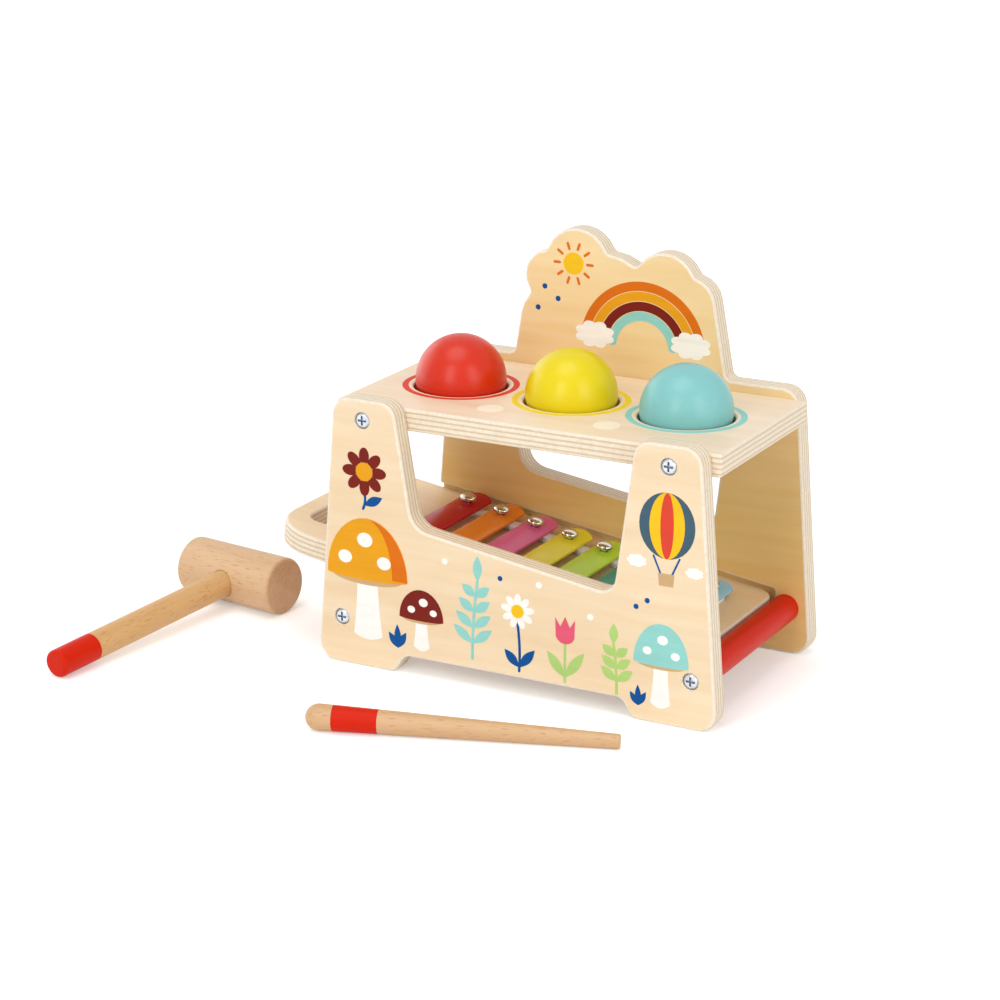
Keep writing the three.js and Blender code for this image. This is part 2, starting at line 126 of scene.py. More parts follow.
def add_ramp(tree, factor, low, high):
    """Blends two colours. low and high are each a factor and the colour it gets."""
    ramp = tree.nodes.new("ShaderNodeValToRGB")
    for element, (position, rgb) in zip(ramp.color_ramp.elements, (low, high)):
        element.position = position
        element.color = colour(*rgb)
    tree.links.new(factor, ramp.inputs["Fac"])
    return ramp.outputs["Color"]


def multiplied(tree, first, second):
    """The product of two colours."""
    mix = tree.nodes.new("ShaderNodeMixRGB")
    mix.blend_type = "MULTIPLY"
    mix.inputs["Fac"].default_value = 1.0
    tree.links.new(first, mix.inputs["Color1"])
    tree.links.new(second, mix.inputs["Color2"])
    return mix.outputs["Color"]


def add_relief(tree, height, depth):
    """Turns a height from 0 to 1 into fine relief, depth metres deep at most."""
    bump = tree.nodes.new("ShaderNodeBump")
    bump.inputs["Distance"].default_value = depth
    tree.links.new(height, bump.inputs["Height"])
    tree.links.new(bump.outputs["Normal"], tree.nodes["Principled BSDF"].inputs["Normal"])


NOISE_LOW, NOISE_HIGH = 0.3, 0.7


def spread_roughness(tree, factor, middle, reach):
    """Lets the roughness wander round a middle value with a noise factor."""
    spread = tree.nodes.new("ShaderNodeMapRange")
    spread.inputs["From Min"].default_value = NOISE_LOW
    spread.inputs["From Max"].default_value = NOISE_HIGH
    spread.inputs["To Min"].default_value = middle - reach
    spread.inputs["To Max"].default_value = middle + reach
    tree.links.new(factor, spread.inputs["Value"])
    tree.links.new(spread.outputs["Result"], tree.nodes["Principled BSDF"].inputs["Roughness"])


# %% Wood functions
WHITE = (255, 255, 255)
FIBRE_LOW, FIBRE_HIGH = 0.35, 0.65
CLOUD_SCALE = 0.22
CLOUD_TINT = (246, 243, 238)
FLECK_SCALE = (200, 1300, 1300)
FLECK_LOW, FLECK_HIGH = 0.6, 0.72
GRAIN_DEPTH = 0.03 * MM
GRAIN_SPREAD = 0.06
# The painted shade is full below the first height and gone above the second.
PAINTED_SHADE_FULL_BELOW = 70 * MM
PAINTED_SHADE_GONE_ABOVE = 130 * MM


def add_painted_shade(tree, shade, tint):
    """Paints shade: multiplies a colour by a darker tint that is full low on the board and fades out with
    height.
    """
    coordinates = tree.nodes.new("ShaderNodeTexCoord")
    split = tree.nodes.new("ShaderNodeSeparateXYZ")
    rise = tree.nodes.new("ShaderNodeMapRange")
    rise.inputs["From Min"].default_value = PAINTED_SHADE_FULL_BELOW
    rise.inputs["From Max"].default_value = PAINTED_SHADE_GONE_ABOVE
    tree.links.new(coordinates.outputs["Object"], split.inputs["Vector"])
    tree.links.new(split.outputs["Z"], rise.inputs["Value"])
    fade = add_ramp(tree, rise.outputs["Result"], (0.0, tint), (1.0, WHITE))
    return multiplied(tree, shade, fade)


def wood_material(name, pale, dark, grain, fleck=None, deep=None, roughness=0.42, gloss=0.55):
    """grain is the noise scale along each axis of the piece, small along the grain."""
    material = plain_material(name, pale, roughness, gloss=gloss)
    tree = material.node_tree
    fibres = add_noise(tree, grain)
    streaks = add_ramp(tree, fibres, (FIBRE_LOW, dark), (FIBRE_HIGH, pale))
    broad = add_noise(tree, [value * CLOUD_SCALE for value in grain], detail=2.0)
    clouds = add_ramp(tree, broad, (NOISE_LOW, CLOUD_TINT), (NOISE_HIGH, WHITE))
    result = multiplied(tree, streaks, clouds)
    if fleck:
        spots = add_noise(tree, FLECK_SCALE, detail=1.0, roughness=0.3)
        flecks = add_ramp(tree, spots, (FLECK_LOW, WHITE), (FLECK_HIGH, fleck))
        result = multiplied(tree, result, flecks)
    # deep is the tint of a painted shade that darkens the board towards its foot.
    if deep:
        result = add_painted_shade(tree, result, deep)
    tree.links.new(result, tree.nodes["Principled BSDF"].inputs["Base Color"])
    add_relief(tree, fibres, GRAIN_DEPTH)
    spread_roughness(tree, fibres, roughness, GRAIN_SPREAD)
    return material


BOARD_THICKNESS = 12 * MM
PLY_COUNT = 9
PLY = BOARD_THICKNESS / PLY_COUNT
PLY_MEAN = (240, 215, 175)
PLY_DARK = (219, 197, 165)
PLY_PALE = (243, 231, 212)
PLY_LOW, PLY_HIGH = 0.1, 0.5
PLY_DEPTH = 0.04 * MM
PLY_ROUGHNESS = 0.5
PLY_SPREAD = 0.08
PORE_SCALE = (500, 500, 500)
PORE_TINT = (244, 239, 231)
WAVE_FACTOR = 20  # the wave node multiplies its place by this


def ply_edge_material(name, axis, face):
    """Stacks pale and dark plies in turn along an axis of a board, from the place of its lower face."""
    material = plain_material(name, PLY_MEAN, PLY_ROUGHNESS, gloss=0.55)
    tree = material.node_tree
    coordinates = tree.nodes.new("ShaderNodeTexCoord")
    wave = tree.nodes.new("ShaderNodeTexWave")
    wave.bands_direction = "XYZ"[axis]
    wave.inputs["Scale"].default_value = math.pi / (WAVE_FACTOR * PLY)
    wave.inputs["Phase Offset"].default_value = math.pi - math.pi * (face + PLY / 2) / PLY
    wave.inputs["Distortion"].default_value = 0.5
    wave.inputs["Detail"].default_value = 1.0
    wave.inputs["Detail Scale"].default_value = 0.6
    tree.links.new(coordinates.outputs["Object"], wave.inputs["Vector"])
    plies = add_ramp(tree, wave.outputs["Fac"], (PLY_LOW, PLY_DARK), (PLY_HIGH, PLY_PALE))
    pores = add_noise(tree, PORE_SCALE)
    specks = add_ramp(tree, pores, (NOISE_LOW, PORE_TINT), (NOISE_HIGH, WHITE))
    result = multiplied(tree, plies, specks)
    tree.links.new(result, tree.nodes["Principled BSDF"].inputs["Base Color"])
    add_relief(tree, wave.outputs["Fac"], PLY_DEPTH)
    spread_roughness(tree, pores, PLY_ROUGHNESS, PLY_SPREAD)
    return material


# %% Veneers and beech
ALONG_X = (12, 140, 140)
BEECH_GRAIN = (10, 160, 160)
BEECH_FLECK = (239, 224, 207)
HONEY = (247, 220, 168), (243, 211, 152)
veneer = wood_material("birch veneer", (244, 223, 189), (240, 213, 174), ALONG_X)
pale_veneer = wood_material("pale veneer", (249, 229, 202), (245, 220, 189), ALONG_X)
honey_veneer = wood_material("honey veneer", *HONEY, ALONG_X)
# Honey veneer with a painted shade below the table, standing in for the shade and warm bounced light inside
# the bench.
painted_shade_veneer = wood_material("honey veneer with painted shade", *HONEY, ALONG_X, deep=(255, 247, 217))
tray_veneer = wood_material("tray veneer", (249, 225, 188), (245, 216, 173), ALONG_X)
back_veneer = wood_material("back veneer", (246, 206, 128), (238, 194, 110), ALONG_X)


def beech_material(name, pale, dark):
    return wood_material(name, pale, dark, BEECH_GRAIN, fleck=BEECH_FLECK, gloss=0.4)


beech = beech_material("beech", (215, 176, 133), (209, 167, 122))
pale_beech = beech_material("pale beech", (225, 189, 150), (219, 180, 138))
golden_beech = beech_material("golden beech", (222, 179, 124), (215, 169, 111))
print("wood: six veneers and three tones of beech")

# %% [markdown]
# ## Paint, metal, felt and rubber
# None of these is one flat colour. Sprayed paint dries with fine dimples that break up its highlights,
# and its tint wanders a little. Plated steel has a faint brushed bloom, felt is a mat of fibres, and
# rubber has a dull grain. So one function gives them all a tint that wanders, a relief and a roughness
# that follows the relief.

# %% Textured finishes
BLOTCH_SCALE = 0.15
BLOTCH_LOW, BLOTCH_HIGH = 0.32, 0.68


def textured_material(name, rgb, roughness, gloss, shade, spacing, depth, bloom=0.2, metallic=0.0):
    """The tint drops by the share shade at its darkest, and the roughness wanders by the share bloom.

    spacing is the size of a dimple or fibre and depth is the height of the relief, in millimetres.
    """
    material = plain_material(name, rgb, roughness, metallic, gloss)
    tree = material.node_tree
    fine = add_noise(tree, [1 / (spacing * MM)] * 3, detail=2.0)
    broad = add_noise(tree, [BLOTCH_SCALE / (spacing * MM)] * 3, detail=3.0)
    darker = tuple((1 - shade) * value for value in rgb)
    tint = add_ramp(tree, broad, (BLOTCH_LOW, darker), (BLOTCH_HIGH, rgb))
    tree.links.new(tint, tree.nodes["Principled BSDF"].inputs["Base Color"])
    add_relief(tree, fine, depth * MM)
    spread_roughness(tree, fine, roughness, bloom * roughness)
    return material


def sprayed(name, rgb, roughness, gloss):
    return textured_material(name, rgb, roughness, gloss, shade=0.015, spacing=1.6, depth=0.05, bloom=0.02)


PLATED_GLOSS = 0.5


def plated(name, rgb, roughness, shade, spacing, depth):
    return textured_material(name, rgb, roughness, PLATED_GLOSS, shade, spacing, depth, metallic=1.0)


red_paint = sprayed("red paint", (211, 34, 4), roughness=0.4, gloss=0.12)
ball_paints = {
    "left": sprayed("red ball paint", (213, 44, 12), roughness=0.3, gloss=0.35),
    "middle": sprayed("yellow ball paint", (231, 209, 3), roughness=0.3, gloss=0.35),
    "right": sprayed("aqua ball paint", (130, 196, 195), roughness=0.3, gloss=0.35),
}
BAR_COLOURS = [
    (206, 30, 40),
    (255, 148, 40),
    (240, 110, 168),
    (252, 240, 52),
    (200, 239, 62),
    (0, 150, 116),
    (30, 124, 196),
    (152, 206, 230),
]
bar_paints = []
for number, rgb in enumerate(BAR_COLOURS, start=1):
    bar_paints.append(sprayed(f"bar paint {number}", rgb, roughness=0.25, gloss=0.2))
zinc = plated("zinc", (214, 220, 230), roughness=0.3, shade=0.06, spacing=0.5, depth=0.004)
# A darker, duller zinc, painted into the screws' cross slots as shade in the recess.
painted_shade_zinc = plated("zinc with painted shade", (148, 156, 172), roughness=0.45, shade=0.06, spacing=0.5, depth=0.004)
nickel = plated("nickel", (222, 220, 214), roughness=0.14, shade=0.02, spacing=0.8, depth=0.002)
FELT_LOOK = {"roughness": 0.95, "gloss": 0.1, "shade": 0.12, "spacing": 0.35, "depth": 0.12, "bloom": 0.03}
felt = textured_material("felt", (250, 246, 250), **FELT_LOOK)
RUBBER_LOOK = {"roughness": 0.85, "gloss": 0.5, "shade": 0.15, "spacing": 0.4, "depth": 0.05, "bloom": 0.1}
rubber = textured_material("rubber", (44, 42, 40), **RUBBER_LOOK)
print("finishes:", 1 + len(ball_paints) + len(bar_paints), "paints, three platings, felt and rubber")

# %% [markdown]
# ## From a solid to a finished piece
# A finished piece starts as a copy of its solid, so its size and place are right. The copy is welded,
# flat triangles are merged into faces, sharp edges are eased, and curved walls are shaded smooth. A board
# has three materials: its front shows one veneer, its back another, and its walls and eased edges show
# the plies.

# %% Piece function
HOLE_EASE = 0.3
HOLE_REACH = 0.5 * MM
WELD = 0.002 * MM
FLAT = math.radians(0.5)
SHARP = math.radians(40)
SMOOTH = math.radians(42)
FACE_SIDE = 0.7
FACE, PLIES, BACK = 0, 1, 2
AS_BESIDE = -1  # an eased edge takes the material beside it
panel_screws = [node for node in frame["nodes"] if node.startswith("panel_screw")]
screw_boxes = [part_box(node) for node in panel_screws]


def in_screw_hole(edge):
    """Says whether the middle of an edge lies in or round a panel screw."""
    at = (edge.verts[0].co + edge.verts[1].co) / 2
    for low, high in screw_boxes:
        if all(low[i] - HOLE_REACH < at[i] < high[i] + HOLE_REACH for i in range(3)):
            return True
    return False


def ease_edges(form, edges, width, segments, material):
    bmesh.ops.bevel(
        form,
        geom=edges,
        offset=width * MM,
        offset_type="OFFSET",
        segments=segments,
        profile=0.5,
        affect="EDGES",
        clamp_overlap=False,
        material=material,
    )


def finished(
    node, body, slot, material, ease=0.0, segments=3, place=None, board_axis=None, back=0, back_face=None
):
    """Copies a solid, eases its edges by a number of millimetres and dresses it. place is its own frame.

    A board has the axis that it is thin along, and back is 1 or -1 for the side that its back faces.
    """
    place = place or Matrix.Identity(4)
    is_board = board_axis is not None
    mesh = frame["nodes"][node].data.copy()
    mesh.transform(place.inverted())
    mesh.materials.clear()
    mesh.materials.append(material)
    if is_board:
        lowest = min(vertex.co[board_axis] for vertex in mesh.vertices)
        mesh.materials.append(ply_edge_material(node + " plies", board_axis, lowest))
        mesh.materials.append(back_face or back_veneer)
    form = bmesh.new()
    form.from_mesh(mesh)
    bmesh.ops.remove_doubles(form, verts=form.verts, dist=WELD)
    bmesh.ops.dissolve_limit(form, angle_limit=FLAT, verts=form.verts, edges=form.edges)
    for face in form.faces:
        face.smooth = True
        face.material_index = FACE
        if is_board:
            facing = back * face.normal[board_axis]
            if abs(facing) < FACE_SIDE:
                face.material_index = PLIES
            elif facing > 0:
                face.material_index = BACK
    if ease:
        sharp = [edge for edge in form.edges if edge.calc_face_angle(0) > SHARP]
        in_holes = [edge for edge in sharp if is_board and in_screw_hole(edge)]
        others = [edge for edge in sharp if edge not in in_holes]
        ease_edges(form, others, ease, segments, PLIES if is_board else AS_BESIDE)
        ease_edges(form, in_holes, HOLE_EASE, 1, AS_BESIDE)
    form.to_mesh(mesh)
    form.free()
    mesh.set_sharp_from_angle(angle=SMOOTH)
    piece = bpy.data.objects.new(node + "_finished", mesh)
    bpy.context.scene.collection.objects.link(piece)
    piece.matrix_world = place
    weighted = piece.modifiers.new("even shading", "WEIGHTED_NORMAL")
    weighted.keep_sharp = True
    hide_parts(node)
    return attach(piece, body)


# %% [markdown]
# ## The bench
# Both panels and the table are 12 mm plywood with eased edges. The rear panel has honey veneer on both
# sides, and on its front a painted shade turns it a deeper honey below the table. The other boards have
# a darker veneer on their backs. The dowels are painted, and the screws are zinc, with a darker, duller
# zinc in their cross slots as painted shade in the recess.

# %% Painted shade in the cross slots of the screws
SLOT_RIM = 0.15 * MM
SLOT_FLOOR = 1.3 * MM
SLOT_REACH = 2.6 * MM
IN_SLOT = 1


def paint_slot_shade(screw, node):
    """Paints shade into a screw's cross slot: its walls and floor take a darker, duller zinc."""
    low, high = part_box(node)
    middle = (low + high) / 2
    crown = low.y if middle.y < bench.y else high.y
    screw.data.materials.append(painted_shade_zinc)
    for face in screw.data.polygons:
        depth = abs(face.center.y - crown)
        reach = math.hypot(face.center.x - middle.x, face.center.z - middle.z)
        if SLOT_RIM < depth < SLOT_FLOOR and reach < SLOT_REACH:
            face.material_index = IN_SLOT


# %% Bench pieces
BOARD_EASE = 1.4
SCREW_EASE = 0.12
RING_EASE = 0.4
UPRIGHT = {"ease": BOARD_EASE, "board_axis": 1, "back": 1}
LYING = {"ease": BOARD_EASE, "board_axis": 2, "back": -1}
finished("front_panel", "bench", "plywood", veneer, **UPRIGHT)
# The rear panel's front carries the painted shade below the table.
finished("rear_panel", "bench", "plywood", painted_shade_veneer, back_face=honey_veneer, **UPRIGHT)
finished("table_top", "bench", "plywood", pale_veneer, **LYING)
for node in ("dowel_left", "dowel_right"):
    finished(node, "bench", "red_paint", red_paint)
# Each screw gets a painted shade in its cross slot.
for node in panel_screws:
    paint_slot_shade(finished(node, "bench", "zinc", zinc, SCREW_EASE, segments=1), node)
for side in ball_paints:
    finished("grip_ring_" + side, "bench", "rubber", rubber, RING_EASE)
print("bench: 3 boards, 2 dowels,", len(panel_screws), "screws and 3 rings")

# %% [markdown]
# ## The tray
# The tray and its bars are dressed in a frame that is tilted with the slope, so that grain and plies
# follow it. The bars are metal under bright paint and lie on two strips of felt.

# %% Tray pieces
FELT_EASE = 0.5
BAR_EASE = 0.4
BAR_SLOTS = ["red", "orange", "pink", "yellow", "green", "teal", "blue", "light_blue"]
finished("xylophone_tray", "tray", "plywood", tray_veneer, place=tray_frame, **LYING)
for side in ("front", "rear"):
    finished("felt_" + side, "tray", "felt", felt, FELT_EASE, place=tray_frame)
for number, (slot, paint) in enumerate(zip(BAR_SLOTS, bar_paints), start=1):
    finished(f"bar_{number}", "tray", "bar_" + slot, paint, BAR_EASE, place=tray_frame)
print("tray: board, 2 felts and", len(BAR_SLOTS), "bars")

# %% [markdown]
# ## The dome screws
# Their polished heads mirror everything around them, so a coarse head would show its corners. Each screw
# is turned again with a fine round head, and its size and place are measured on its solid.

# %% Dome screws
HEAD_RISE, HEAD_RIM, SHANK_RADIUS = 2.0 * MM, 0.8 * MM, 1.6 * MM
HEAD_SIDES = 28
HEAD_ANGLES = [math.radians(angle) for angle in range(10, 100, 10)]
TURNED_SHARP = math.radians(50)


def turned_mesh(name, profile, segments):
    """Turns a profile of (radius, height) about the Z axis. It runs down and starts and ends on the axis."""
    form = bmesh.new()
    top = form.verts.new((0, 0, profile[0][1]))
    bottom = form.verts.new((0, 0, profile[-1][1]))
    angles = [2 * math.pi * i / segments for i in range(segments)]
    rings = []
    for radius, height in profile[1:-1]:
        circle = [(radius * math.cos(angle), radius * math.sin(angle), height) for angle in angles]
        rings.append([form.verts.new(point) for point in circle])
    for i in range(segments):
        form.faces.new((top, rings[0][i - 1], rings[0][i]))
        form.faces.new((bottom, rings[-1][i], rings[-1][i - 1]))
        for upper, lower in zip(rings, rings[1:]):
            form.faces.new((upper[i], upper[i - 1], lower[i - 1], lower[i]))
    for face in form.faces:
        face.smooth = True
    mesh = bpy.data.meshes.new(name)
    form.to_mesh(mesh)
    form.free()
    mesh.set_sharp_from_angle(angle=TURNED_SHARP)
    return mesh


bar_screws = [node for node in frame["nodes"] if node.startswith("bar_screw")]
for node in bar_screws:
    places = [tray_frame.inverted() @ vertex.co for vertex in frame["nodes"][node].data.vertices]
    low = Vector([min(place[axis] for place in places) for axis in range(3)])
    high = Vector([max(place[axis] for place in places) for axis in range(3)])
    radius = (high.y - low.y) / 2
    shoulder = -HEAD_RISE - HEAD_RIM
    dome = [(radius * math.sin(a), HEAD_RISE * (math.cos(a) - 1)) for a in HEAD_ANGLES]
    shank = [(radius, shoulder), (SHANK_RADIUS, shoulder), (SHANK_RADIUS, low.z - high.z)]
    mesh = turned_mesh(node, [(0, 0), *dome, *shank, (0, low.z - high.z)], HEAD_SIDES)
    mesh.materials.append(nickel)
    screw = bpy.data.objects.new(node + "_finished", mesh)
    bpy.context.scene.collection.objects.link(screw)
    crown = Vector(((low.x + high.x) / 2, (low.y + high.y) / 2, high.z))
    screw.matrix_world = tray_frame @ Matrix.Translation(crown)
    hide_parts(node)
    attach(screw, "tray")
print("dome screws:", len(bar_screws), "with heads of radius", round(radius / MM, 2), "mm")

# %% [markdown]
# ## The balls
# Each ball is turned again as a fine sphere of the same size, because its outline is large in the
# picture.

# %% Balls
BALL_SIDES, BALL_RINGS = 64, 32
for side, paint in ball_paints.items():
    low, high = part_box("ball_" + side)
    form = bmesh.new()
    radius = (high.z - low.z) / 2
    bmesh.ops.create_uvsphere(form, u_segments=BALL_SIDES, v_segments=BALL_RINGS, radius=radius)
    for face in form.faces:
        face.smooth = True
    mesh = bpy.data.meshes.new("ball " + side)
    form.to_mesh(mesh)
    form.free()
    mesh.materials.append(paint)
    ball = bpy.data.objects.new("ball_" + side + "_finished", mesh)
    bpy.context.scene.collection.objects.link(ball)
    ball.location = (low + high) / 2
    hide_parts("ball_" + side)
    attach(ball, "ball_" + side)
print("balls:", len(ball_paints))

# %% [markdown]
# ## Mallet and beater
# Both are turned beech with a stretch of red paint. A cut across the mesh gives the paint a clean edge,
# and the faces on the painted side take the paint. Each piece has its own frame, with X along its length,
# so the grain runs along it. The side of the mallet's head is shaded as a true cylinder, so that its
# facets don't show.

# %% Functions for turned pieces
CUT_WELD = 0.001 * MM
ROUND_SIDE = 0.98


def paint_stretch(piece, start, end, paint):
    """Paints the part of a piece between two distances along its own X axis, in metres."""
    piece.data.materials.append(paint)
    index = len(piece.data.materials) - 1
    form = bmesh.new()
    form.from_mesh(piece.data)
    for place in (start, end):
        everything = form.verts[:] + form.edges[:] + form.faces[:]
        cut = {"plane_co": (place, 0, 0), "plane_no": (1, 0, 0)}
        bmesh.ops.bisect_plane(form, geom=everything, dist=CUT_WELD, **cut)
    for face in form.faces:
        if start < face.calc_center_median().x < end:
            face.material_index = index
    form.to_mesh(piece.data)
    form.free()


def shade_round(piece):
    """Gives the curved side of a piece the shading of a true cylinder round its own X axis."""
    piece.modifiers.clear()
    mesh = piece.data
    normals = [corner.vector.copy() for corner in mesh.corner_normals]
    for face in mesh.polygons:
        for corner in face.loop_indices:
            outwards = mesh.vertices[mesh.loops[corner].vertex_index].co * Vector((0, 1, 1))
            if outwards.normalized().dot(face.normal) > ROUND_SIDE:
                normals[corner] = outwards.normalized()
    mesh.normals_split_custom_set(normals)


# %% Mallet
MALLET_TURN = math.radians(-98)
MALLET_REACH = 145 * MM
MALLET_RED = 27 * MM
HANDLE_RADIUS = 7.5 * MM
head_low, head_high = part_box("mallet_head")
head_radius = (head_high.z - head_low.z) / 2
mallet_droop = math.asin((head_radius - HANDLE_RADIUS) / MALLET_REACH)
mallet_turning = Matrix.Rotation(MALLET_TURN, 4, "Z") @ Matrix.Rotation(mallet_droop, 4, "Y")
mallet_frame = Matrix.Translation((head_low + head_high) / 2) @ mallet_turning
head_frame = mallet_frame @ Matrix.Rotation(math.radians(90), 4, "Z")
shade_round(finished("mallet_head", "mallet", "beech", pale_beech, place=head_frame))
handle = finished("mallet_handle", "mallet", "beech", golden_beech, place=mallet_frame)
paint_stretch(handle, MALLET_REACH - MALLET_RED, MALLET_REACH + MM, red_paint)
print("mallet: head radius", round(head_radius, 4), "droop", round(math.degrees(mallet_droop), 2))

# %% Beater
BEATER_TURN = math.radians(18.7)
BEATER_RED = (14 * MM, 37 * MM)
beater_low, beater_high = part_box("beater")
thick_radius = (beater_high.z - beater_low.z) / 2
beater_start = Vector((beater_low.x + thick_radius, beater_low.y + thick_radius, thick_radius))
beater_frame = Matrix.Translation(beater_start) @ Matrix.Rotation(BEATER_TURN, 4, "Z")
beater = finished("beater", "beater", "beech", beech, place=beater_frame)
paint_stretch(beater, BEATER_RED[0] - thick_radius, BEATER_RED[1] - thick_radius, red_paint)
print("beater: thick end radius", round(thick_radius, 4))

# %% [markdown]
# ## Shapes for the colour prints
# The boards of such a bench carry a colour print. Here it is a plain meadow and sky, drawn from a few
# outlines: ovals, leaves, caps, puffs and lines of even width. An outline is a list of points in
# millimetres on its board.


# %% Outlines
def moved(points, x, y, turn=0.0):
    """Turns points about (0, 0) by a number of degrees and moves them to (x, y)."""
    cosine, sine = math.cos(math.radians(turn)), math.sin(math.radians(turn))
    return [(x + cosine * u - sine * v, y + sine * u + cosine * v) for u, v in points]


def oval(x, y, half_width, half_height, turn=0.0, steps=32):
    angles = [2 * math.pi * i / steps for i in range(steps)]
    return moved([(half_width * math.cos(a), half_height * math.sin(a)) for a in angles], x, y, turn)


def leaf(x, y, length, width, turn, steps=12):
    """A pointed leaf that grows from (x, y)."""
    upper = [(length * i / steps, width / 2 * math.sin(math.pi * i / steps)) for i in range(steps + 1)]
    lower = [(u, -v) for u, v in reversed(upper[1:-1])]
    return moved(upper + lower, x, y, turn)


def cap(x, y, half_width, height, depth, steps=36):
    """An oval that rises by height above its widest line and drops by depth below it."""
    points = []
    for i in range(steps):
        angle = 2 * math.pi * i / steps
        reach = height if angle < math.pi else depth
        points.append((x + half_width * math.cos(angle), y + reach * math.sin(angle)))
    return points


PUFF_DIP = 0.18


def puff(x, y, half_width, half_height, bumps, steps=8):
    """A round shape with a scalloped edge."""
    points = []
    for i in range(bumps * steps):
        angle = 2 * math.pi * i / (bumps * steps)
        reach = 1 - PUFF_DIP + PUFF_DIP * math.sin(math.pi * (i % steps) / steps)
        points.append((x + half_width * reach * math.cos(angle), y + half_height * reach * math.sin(angle)))
    return points


def bow(x, y, radius, start, end, steps=24):
    """Points along an arc between two angles in degrees."""
    angles = [math.radians(start + (end - start) * i / steps) for i in range(steps + 1)]
    return [(x + radius * math.cos(a), y + radius * math.sin(a)) for a in angles]


def bend(start, pull, end, steps=10):
    """Points along a curve from start to end that leans towards pull."""
    shares = [i / steps for i in range(steps + 1)]
    weights = [((1 - t) ** 2, 2 * t * (1 - t), t**2) for t in shares]
    return [tuple(a * p + b * q + c * r for p, q, r in zip(start, pull, end)) for a, b, c in weights]


def stroke(points, width, end_steps=6):
    """A line of even width with round ends, as an outline."""
    headings = []
    for i in range(len(points)):
        before, after = points[max(i - 1, 0)], points[min(i + 1, len(points) - 1)]
        headings.append(math.atan2(after[1] - before[1], after[0] - before[0]))
    half = width / 2

    def beside(i, turn):
        angle = headings[i] + turn
        return (points[i][0] + half * math.cos(angle), points[i][1] + half * math.sin(angle))

    square = math.pi / 2
    last = len(points) - 1
    right = [beside(i, -square) for i in range(last)]
    far_end = [beside(last, -square + math.pi * k / end_steps) for k in range(end_steps + 1)]
    left = [beside(i, square) for i in range(last - 1, 0, -1)]
    near_end = [beside(0, square + math.pi * k / end_steps) for k in range(end_steps)]
    return right + far_end + left + near_end


print("a leaf has", len(leaf(0, 0, 10, 4, 0)), "points and a puff", len(puff(0, 0, 10, 6, 7)))

# %% [markdown]
# ## Inks and films
# Ink is flat colour that the grain below shows through a little. On the real boards it is thinner than a
# hair. Here each shape is a closed film that starts just below the board's face and ends a few hundredths
# of a millimetre above it. A shape on top of another has a higher layer, so no two inks share a plane.
# Films of one ink form one piece.

# %% Inks
INKS = {
    "ochre": (234, 162, 26),
    "orange": (222, 112, 14),
    "maroon": (122, 30, 20),
    "aqua": (148, 212, 205),
    "blue": (2, 80, 150),
    "white": (252, 250, 244),
    "green": (178, 212, 122),
    "tan": (208, 172, 124),
    "pink": (230, 92, 122),
    "slate": (68, 95, 112),
    "yellow": (246, 196, 30),
    "lemon": (246, 216, 40),
    "red": (222, 70, 52),
    "cream": (255, 240, 214),
}
INK_GRAIN = (30, 260, 260)
INK_GRAIN_DEPTH = 0.02 * MM
INK_LOW, INK_HIGH = 0.3, 0.65
INK_SHADE = 0.965
INK_ROUGHNESS = 0.55
INK_SPREAD = 0.05


def ink_material(name, rgb):
    material = plain_material("ink " + name, rgb, INK_ROUGHNESS, gloss=0.15)
    tree = material.node_tree
    grain = add_noise(tree, INK_GRAIN)
    darker = tuple(INK_SHADE * value for value in rgb)
    tint = add_ramp(tree, grain, (INK_LOW, darker), (INK_HIGH, rgb))
    tree.links.new(tint, tree.nodes["Principled BSDF"].inputs["Base Color"])
    add_relief(tree, grain, INK_GRAIN_DEPTH)
    spread_roughness(tree, grain, INK_ROUGHNESS, INK_SPREAD)
    return material


inks = {name: ink_material(name, rgb) for name, rgb in INKS.items()}
print("inks:", ", ".join(inks))

# %% Films
INK_SINK = 0.04
INK_LAYER = 0.04


def add_film(form, to_board, layer, outline, hole=None):
    """Adds one closed film. to_board turns a place on the board and a height above it into a point."""
    heights = (-INK_SINK, INK_LAYER * layer)
    loops = []
    for edge in (outline, hole):
        if edge:
            loops.append([[form.verts.new(to_board(u, v, height)) for u, v in edge] for height in heights])
    for low, high in loops:
        for i in range(len(low)):
            form.faces.new((low[i - 1], low[i], high[i], high[i - 1]))
    for level in range(2):
        outer = loops[0][level]
        if hole:
            inner = loops[1][level]
            for i in range(len(outer)):
                form.faces.new((outer[i - 1], outer[i], inner[i], inner[i - 1]))
        else:
            form.faces.new(outer)


def print_on(board, films, to_board):
    """Makes one piece for each ink. A film is its ink, its layer, its outline and, for a ring, its hole."""
    used = sorted({film[0] for film in films})
    for ink in used:
        form = bmesh.new()
        for film in films:
            if film[0] == ink:
                add_film(form, to_board, *film[1:])
        bmesh.ops.recalc_face_normals(form, faces=form.faces)
        mesh = bpy.data.meshes.new(f"{board} {ink}")
        form.to_mesh(mesh)
        form.free()
        mesh.materials.append(inks[ink])
        piece = bpy.data.objects.new(f"{board}_print_{ink}", mesh)
        bpy.context.scene.collection.objects.link(piece)
        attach(piece, "bench")
    print(board, "print:", len(films), "films in", len(used), "inks")


def on_front(u, v, height):
    return (bench.x + u * MM, front_low.y - height * MM, v * MM)


def on_cloud(u, v, height):
    return (bench.x + u * MM, rear_low.y - height * MM, v * MM)


def on_table(u, v, height):
    return (bench.x + u * MM, bench.y + v * MM, table_high.z + height * MM)


# %% [markdown]
# ## Motifs
# Each motif is a function that returns its films, so that a plant can stand in more than one place and
# size. Shares of its height and width set its proportions.


